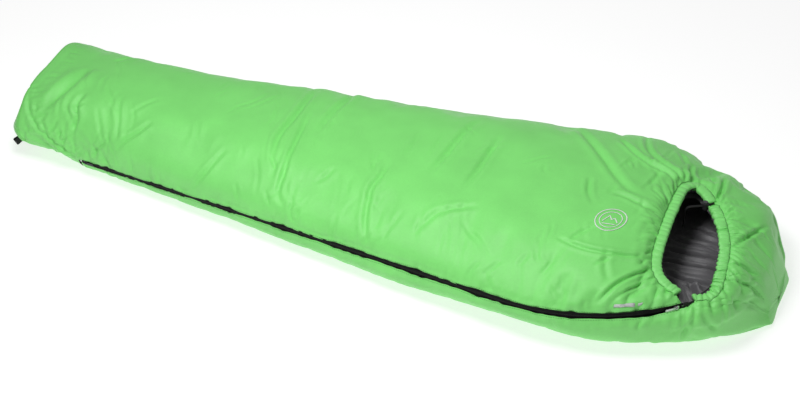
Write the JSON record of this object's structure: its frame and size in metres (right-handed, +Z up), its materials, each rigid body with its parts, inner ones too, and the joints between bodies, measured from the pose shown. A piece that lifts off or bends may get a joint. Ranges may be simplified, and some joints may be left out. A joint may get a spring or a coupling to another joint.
{
  "type": "mummy sleeping bag",
  "caption": "Tapered sleeping bag with a cinch hood, egg-shaped face opening, curved two-way side zip, quilted shell, batting and lining layers, and webbing loops at the foot.",
  "frame": {"origin": "centre of the bag's outline, on the floor it lies on", "axes": "+X toward the hood, -Y toward the zip side, +Z up"},
  "size_m": [2.23, 0.831, 0.2359],
  "materials": {
    "channel_hood_side": "matte",
    "channel_quilt_side": "matte",
    "cord_lock_body": "gloss",
    "cord_lock_button": "gloss",
    "cord_lock_spring": "satin",
    "draught_tube": "matte",
    "drawcord": "matte",
    "fill_base": "matte",
    "fill_footbox": "matte",
    "fill_hood": "matte",
    "fill_top": "matte",
    "foot_loop_far": "matte",
    "foot_loop_near": "matte",
    "foot_slider_body": "polished",
    "foot_slider_pull": "polished",
    "head_slider_body": "polished",
    "head_slider_pull": "polished",
    "lining_base": "matte",
    "lining_footbox": "matte",
    "lining_hood": "matte",
    "lining_top": "matte",
    "shell_base": "matte",
    "shell_footbox": "matte",
    "shell_hood": "matte",
    "shell_top": "matte",
    "zip_coil_lower": "satin",
    "zip_coil_upper": "satin",
    "zip_foot_stop": "polished",
    "zip_head_loop_patch": "matte",
    "zip_head_stop_lower": "polished",
    "zip_head_stop_upper": "polished",
    "zip_head_tab": "matte",
    "zip_tape_lower": "matte",
    "zip_tape_upper": "matte"
  },
  "bodies": {
    "bag": {"channel_hood_side": "channel_hood_side", "channel_quilt_side": "channel_quilt_side", "draught_tube": "draught_tube", "drawcord": "drawcord", "fill_base": "fill_base", "fill_footbox": "fill_footbox", "fill_hood": "fill_hood", "fill_top": "fill_top", "foot_loop_far": "foot_loop_far", "foot_loop_near": "foot_loop_near", "lining_base": "lining_base", "lining_footbox": "lining_footbox", "lining_hood": "lining_hood", "lining_top": "lining_top", "shell_base": "shell_base", "shell_footbox": "shell_footbox", "shell_hood": "shell_hood", "shell_top": "shell_top", "zip_coil_lower": "zip_coil_lower", "zip_coil_upper": "zip_coil_upper", "zip_foot_stop": "zip_foot_stop", "zip_head_loop_patch": "zip_head_loop_patch", "zip_head_stop_lower": "zip_head_stop_lower", "zip_head_stop_upper": "zip_head_stop_upper", "zip_tape_lower": "zip_tape_lower", "zip_tape_upper": "zip_tape_upper"},
    "head_slider": {"head_slider_body": "head_slider_body"},
    "head_pull": {"head_slider_pull": "head_slider_pull"},
    "foot_slider": {"foot_slider_body": "foot_slider_body"},
    "foot_pull": {"foot_slider_pull": "foot_slider_pull"},
    "cord_lock": {"cord_lock_body": "cord_lock_body", "cord_lock_spring": "cord_lock_spring"},
    "cord_lock_press": {"cord_lock_button": "cord_lock_button"},
    "head_tab": {"zip_head_tab": "zip_head_tab"}
  },
  "joints": [
    {"name": "head_zip_travel", "type": "hinge", "parent": "bag", "child": "head_slider", "pos_m": [0.58461, 0.11034, 0.14988], "axis": [0.0523, 0.0744, -0.9959], "range_deg": [0, 43.65]},
    {"name": "head_pull_swing", "type": "hinge", "parent": "head_slider", "child": "head_pull", "pos_m": [0.92156, -0.30397, 0.13661], "axis": [-0.0523, -0.0744, 0.9959], "range_deg": [0, 110]},
    {"name": "foot_zip_travel", "type": "slide", "parent": "bag", "child": "foot_slider", "axis": [0.9882, -0.1473, 0.0409], "range_m": [0, 1.324]},
    {"name": "foot_pull_swing", "type": "hinge", "parent": "foot_slider", "child": "foot_pull", "pos_m": [-0.83517, -0.21629, 0.05094], "axis": [0.0523, 0.0744, -0.9959], "range_deg": [0, 110]},
    {"name": "cord_lock_travel", "type": "slide", "parent": "bag", "child": "cord_lock", "axis": [-0.8466, -0.5323, 0], "range_m": [0, 0.03]},
    {"name": "cord_lock_button", "type": "slide", "parent": "cord_lock", "child": "cord_lock_press", "axis": [0, 0, -1], "range_m": [0, 0.002], "stiffness_N_per_m": 500, "springref_m": -0.003, "deforming": ["cord_lock_spring"]},
    {"name": "head_tab_swing", "type": "hinge", "parent": "bag", "child": "head_tab", "pos_m": [0.95426, -0.27132, 0.14076], "axis": [-0.0523, -0.0744, 0.9959], "range_deg": [0, 120]}
  ]
}
